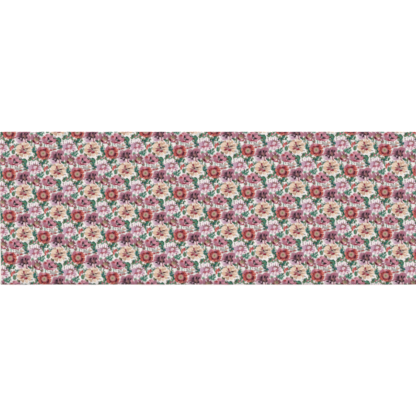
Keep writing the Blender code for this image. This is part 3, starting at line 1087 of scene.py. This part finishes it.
def fold_path(corners, radius, spacing):
    """Even points along a folded line with its corners rounded off."""
    points = [np.array(corners[0])]
    for before, corner, after in zip(corners, corners[1:], corners[2:]):
        before, corner, after = (np.array(p, float) for p in (before, corner, after))
        into = (corner - before) / np.linalg.norm(corner - before)
        away = (after - corner) / np.linalg.norm(after - corner)
        for share in np.linspace(0, 1, 7):
            first = corner - into * radius * (1 - share)
            second = corner + away * radius * share
            points.append(first * (1 - share) + second * share)
    points.append(np.array(corners[-1]))
    points = np.array(points)
    run = np.concatenate([[0], np.cumsum(np.linalg.norm(np.diff(points, axis=0), axis=1))])
    even = np.linspace(0, run[-1], round(run[-1] / spacing) + 1)
    return np.stack([np.interp(even, run, points[:, i]) for i in (0, 1)], axis=-1), even


def outward(path):
    """Unit normals to the left of a path."""
    along = np.gradient(path, axis=0)
    along /= np.linalg.norm(along, axis=1)[:, None]
    return np.stack([-along[:, 1], along[:, 0]], axis=-1)


def merge(name, pieces):
    """Several meshes as one object."""
    mesh = bpy.data.meshes.new(name)
    points, faces = [], []
    for piece in pieces:
        faces += [[v + len(points) for v in face.vertices] for face in piece.data.polygons]
        points += [tuple(v.co) for v in piece.data.vertices]
        bpy.data.objects.remove(piece)
    mesh.from_pydata(points, [], faces)
    mesh.shade_smooth()
    made = bpy.data.objects.new(name, mesh)
    bpy.context.scene.collection.objects.link(made)
    return made


def along_bolt(line, ends):
    """A line in the YZ plane drawn out along X."""
    return [[(x, y, z) for y, z in line] for x in np.linspace(*ends, STATIONS)]


def upright(line, ends):
    """A line in the XY plane drawn out along Z."""
    return [[(x, y, z) for x, y in line] for z in np.linspace(*ends, STATIONS)]


def corrugated(name, corners, ends, lay, body, *stands_for):
    """Liners and fluting along a folded line, drawn out between two ends. lay turns it into place."""
    path, run = fold_path(corners, FOLD_RADIUS, FLUTE / 10)
    side = outward(path)
    bending = np.linalg.norm(np.gradient(side, axis=0), axis=1)
    crushed = np.clip(1 - np.convolve(bending, np.ones(9) / 3, "same"), 0.25, 1)[:, None]
    half = WALL / 2 - LINER / 2
    wave = np.sin(run / FLUTE * 2 * math.pi)[:, None]
    halves = [grid_mesh(name + "_half", lay(path + side * way, ends)) for way in (half, -half)]
    liners = merge(name + "_liners", halves)
    fluted = path + side * wave * (half - LINER) * crushed
    fluting = grid_mesh(name + "_fluting", lay(fluted, ends))
    for piece, surface in ((liners, KRAFT_PAPER), (fluting, FLUTING)):
        piece.data.materials.append(surface)
        solid = piece.modifiers.new("paper", "SOLIDIFY")
        solid.thickness = LINER
        solid.offset = 0
        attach(piece, body)
        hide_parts(*stands_for)
    print(name, "with", round(run[-1] / FLUTE), "flutes")


# %% Folded blank
SEAM = 0.0002
low_line = board_low.z + WALL / 2
high_line = board_high.z - WALL / 2
front_line = board_low.y + WALL / 2
back_line = board_high.y - WALL / 2
rib_top = board_high.z - WALL - CLEAR
rib = SEAM + WALL / 2
blank = [
    (rib, rib_top),
    (rib, low_line),
    (back_line, low_line),
    (back_line, high_line),
    (front_line, high_line),
    (front_line, low_line),
    (-rib, low_line),
    (-rib, rib_top),
]
corrugated("board", blank, (board_low.x, board_high.x), along_bolt, "bolt", "board_wrap")

# %% Stiffening channels
for side in ("front", "back"):
    low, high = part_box("stiffener_" + side)
    left, right = low.y + WALL / 2, high.y - WALL / 2
    crown = high.z - WALL / 2
    channel = [(right, low.z), (right, crown), (left, crown), (left, low.z)]
    corrugated("channel_" + side, channel, (low.x, high.x), along_bolt, "bolt", "stiffener_" + side)

# %% End flaps
for side in ("left", "right"):
    low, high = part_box("end_flap_" + side)
    middle = (low.x + high.x) / 2
    line = [(middle, low.y), (middle, high.y)]
    flap = "flap_" + side
    corrugated(flap, line, (low.z, high.z - CLEAR), upright, flap, "end_flap_" + side)

# %% [markdown]
# ## The creases
# A flap and the top panel are one sheet of board. At the crease the liner stays whole while the
# fluting inside is crushed, so a narrow band of paper runs from the panel round to the flap.

# %% Crease bands
BAND = 0.0002  # thickness
BAND_RADIUS = 0.0028  # of its bend
ON_PANEL, ON_FLAP = 0.012, 0.004  # how far it reaches past the crease, each way


def crease_band(side, sign):
    """The bent band over the crease of one flap. sign is its side of the bolt."""
    low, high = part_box("end_flap_" + side)
    face = high.x if sign > 0 else low.x
    outside = face + sign * BAND / 2
    on_panel = (board_high.x * sign - sign * ON_PANEL, board_high.z + BAND / 2)
    fold = [on_panel, (outside, board_high.z), (outside, board_high.z - ON_FLAP)]
    path, _ = fold_path(fold, BAND_RADIUS, 2 * BAND)
    rows = [[(x, y, z) for y in np.linspace(low.y, high.y, 12)] for x, z in path]
    band = grid_mesh("crease_" + side, rows)
    band.data.materials.append(KRAFT_PAPER)
    solid = band.modifiers.new("paper", "SOLIDIFY")
    solid.thickness = BAND
    solid.offset = 0
    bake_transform(band)
    print(band.name, round((high.y - low.y) * 1000), "mm long")


crease_band("left", -1)
crease_band("right", 1)

# %% [markdown]
# ## Paper on the board
# Gummed paper tape closes the joint underneath, three pieces of masking tape hold the first end of
# the cloth, and each end flap has a label: a wide one ruled for the cloth's details, and a small
# tally. They stay as the frame has them, with papers of their own. The labels are ruled but carry no
# lettering, because the words on such a label belong to a shop.

# %% Labels
RULE_SHADE = dye("5a5650")


def near_half(tree, value, reach):
    """1 where a value lies within reach of one half, and 0 elsewhere."""
    away = maths(tree, "ABSOLUTE", maths(tree, "SUBTRACT", value, 0.5))
    return maths(tree, "LESS_THAN", away, reach)


def label_paper(name, node_name, box_count, band):
    """White paper with ruled boxes, and a colour band at one end, drawn across its face."""
    low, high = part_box(node_name)
    made = paper(name, dye("efece2"), dye("e2ddd0"), 0.4, 0.45)
    tree = made.node_tree
    shader = tree.nodes["Principled BSDF"]
    place = node(tree, "TexCoord").outputs["Object"]
    parts = node(tree, "SeparateXYZ", {0: place}).outputs
    across = spread(tree, parts[1], low.y, high.y, curve="LINEAR")
    up = spread(tree, parts[2], low.z, high.z, curve="LINEAR")
    paper_colour = shader.inputs["Base Color"].links[0].from_socket
    cell = maths(tree, "FRACT", maths(tree, "MULTIPLY", across, box_count))
    uprights = near_half(tree, cell, 0.006 * box_count)
    rules = maths(tree, "MAXIMUM", uprights, near_half(tree, up, 0.02))
    rule = maths(tree, "MULTIPLY", rules, near_half(tree, up, 0.36))
    ruled = mix(tree, maths(tree, "MULTIPLY", rule, 0.75), paper_colour, RULE_SHADE)
    end_band = maths(tree, "GREATER_THAN", across, 0.9)
    tree.links.new(mix(tree, end_band, ruled, band), shader.inputs["Base Color"])
    return made


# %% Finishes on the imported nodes
def finish_node(name, surface):
    """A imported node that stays, with a better material in each of its slots."""
    for place in range(len(nodes[name].data.materials)):
        nodes[name].data.materials[place] = surface
    print(name, "in", surface.name)


finish_node("seam_tape", GUMMED)
for place in ("left", "middle", "right"):
    finish_node("start_tape_" + place, MASKING)
finish_node("end_label", label_paper("ruled_label", "end_label", 4, ROSE))
finish_node("tally_label", label_paper("tally_paper", "tally_label", 2, TEAL))

# %% [markdown]
# ## Frayed threads
# The cut end was snipped and torn, so loose warp threads stand out of it, a few millimetres long.
# They are thin curves, and they ride with the lap.

# %% Loose threads
THREADS = 240
THREAD_RADIUS = 0.00013
TUCKED = 0.0008  # how far inside the cut end each thread begins
LOOSE = random.Random(41)
thread_curve = bpy.data.curves.new("cut_threads", "CURVE")
thread_curve.dimensions = "3D"
thread_curve.bevel_depth = THREAD_RADIUS
thread_curve.bevel_resolution = 1
for _ in range(THREADS):
    x = LOOSE.uniform(-HALF_CLOTH + 0.004, HALF_CLOTH - 0.004)
    length = 0.0012 + 0.0022 * LOOSE.random() ** 2
    sway = LOOSE.uniform(-0.0008, 0.0008)
    lift = float(lifted_edge(np.array(x), np.array(0.0)))
    z = lap_high.z - CLOTH / 2 + lift
    spline = thread_curve.splines.new("POLY")
    spline.points.add(3)
    for number, point in enumerate(spline.points):
        share = number / 3
        droop = 0.0006 * share**2
        point.co = (x + sway * share**2, CUT_EDGE + TUCKED - (length + TUCKED) * share, z - droop, 1)
cut_threads = bpy.data.objects.new("cut_threads", thread_curve)
bpy.context.scene.collection.objects.link(cut_threads)
cut_threads.data.materials.append(COTTON_BACK)
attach(cut_threads, "lap")
print(THREADS, "loose threads along the cut end")

# %% [markdown]
# ## Studio
# The bolt lies on a white table under a very wide overhead light, so there is almost no shadow, as
# for a catalogue picture. The camera looks straight down through a long lens, close enough that both
# ends of the bolt run out of the frame.

# %% Floor
FLOOR_LEVEL = -0.0012  # a hair under the bolt
FLOOR_REACH = 30  # metres each way
reach = (-FLOOR_REACH, FLOOR_REACH)
floor_rows = [[(x, y, FLOOR_LEVEL) for x in reach] for y in reach]
floor = grid_mesh("floor", floor_rows)
white = bpy.data.materials.new("table_white")
white.use_nodes = True
table = white.node_tree.nodes["Principled BSDF"]
table.inputs["Base Color"].default_value = (0.92, 0.92, 0.92, 1)
table.inputs["Roughness"].default_value = 0.9
table.inputs["Emission Color"].default_value = (1, 1, 1, 1)
table.inputs["Emission Strength"].default_value = 0.25
floor.data.materials.append(white)
print("floor", 2 * FLOOR_REACH, "m wide")

# %% Light
world = bpy.data.worlds.new("studio")
world.use_nodes = True
sky = world.node_tree.nodes["Background"]
sky.inputs["Color"].default_value = (1, 1, 1, 1)
sky.inputs["Strength"].default_value = 0.75
bpy.context.scene.world = world

lamp = bpy.data.lights.new("overhead", "SUN")
lamp.energy = 1.7
lamp.angle = math.radians(70)
overhead = bpy.data.objects.new("overhead", lamp)
overhead.rotation_euler = (math.radians(-8), math.radians(6), 0)
bpy.context.scene.collection.objects.link(overhead)
print("sun", lamp.energy, "with a sky of", sky.inputs["Strength"].default_value)

# %% Camera
VIEW_WIDTH = 1.3568  # metres of cloth from one side of the frame to the other
lens = bpy.data.cameras.new("camera")
lens.lens = 85
lens.sensor_width = 36
distance = VIEW_WIDTH * lens.lens / lens.sensor_width
camera = bpy.data.objects.new("camera", lens)
camera.location = (0, 0, lap_high.z + distance)
lens.clip_start, lens.clip_end = 0.05, 100
bpy.context.scene.collection.objects.link(camera)
bpy.context.scene.camera = camera
bpy.context.scene.view_settings.view_transform = "Standard"
print("camera", round(distance, 3), "m above the cloth")
